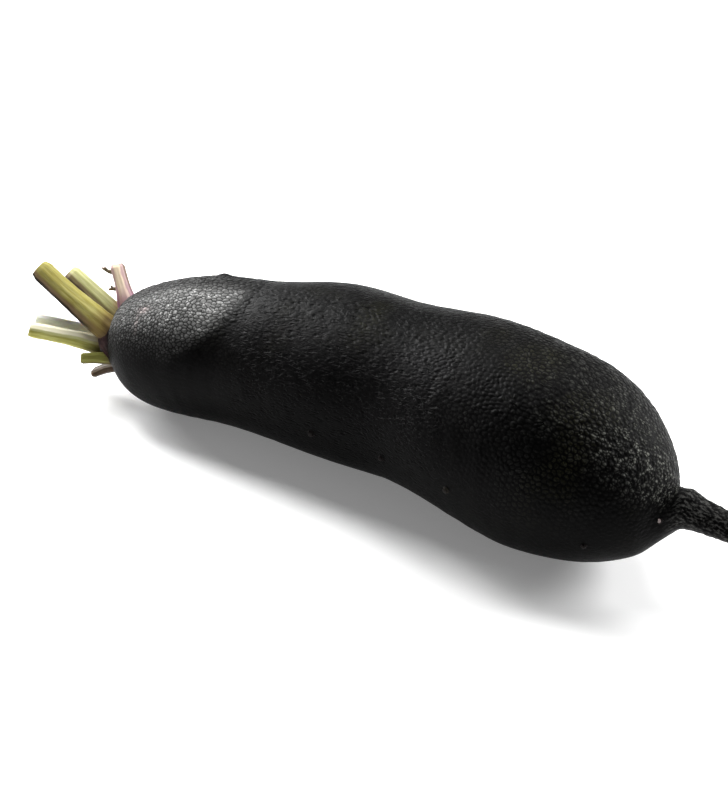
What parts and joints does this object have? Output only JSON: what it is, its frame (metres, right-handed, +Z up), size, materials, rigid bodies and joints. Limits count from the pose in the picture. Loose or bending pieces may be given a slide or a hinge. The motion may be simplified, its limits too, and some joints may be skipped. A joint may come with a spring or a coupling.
{
  "type": "black radish",
  "caption": "Whole long black radish lying on its side: bent, blunt-ended root with pebbled black skin, a tapering taproot and the cut stumps of its leaf stalks.",
  "frame": {"origin": "on the surface the radish lies on, under the centre of its bounding box", "axes": "+X from the crown with its leaf stalks towards the tip of the taproot, the longest way through the part; +Z up from the surface; +Y towards the outside of the root's bend"},
  "size_m": [0.2888, 0.0684, 0.0605],
  "materials": {
    "black_skin": "near-black pebbled root skin, half matt with a grey sheen on the grain",
    "stalk_olive": "fresh fibrous leaf stalk, olive green, brown-purple at its foot, satin",
    "stalk_green": "fresh fibrous leaf stalk, light green, satin",
    "stalk_purple": "fresh fibrous leaf stalk, pale pink to purple, satin",
    "stalk_pale": "fresh fibrous leaf stalk, pale yellow-green, satin"
  },
  "bodies": {
    "root": {"root": "black_skin", "stalk_large": "stalk_olive", "stalk_green": "stalk_green", "stalk_purple": "stalk_purple", "stalk_pale": "stalk_pale", "stalk_thin": "stalk_pale", "stalk_stub": "stalk_olive", "stalk_back": "stalk_green", "stalk_low": "stalk_purple"}
  },
  "joints": []
}
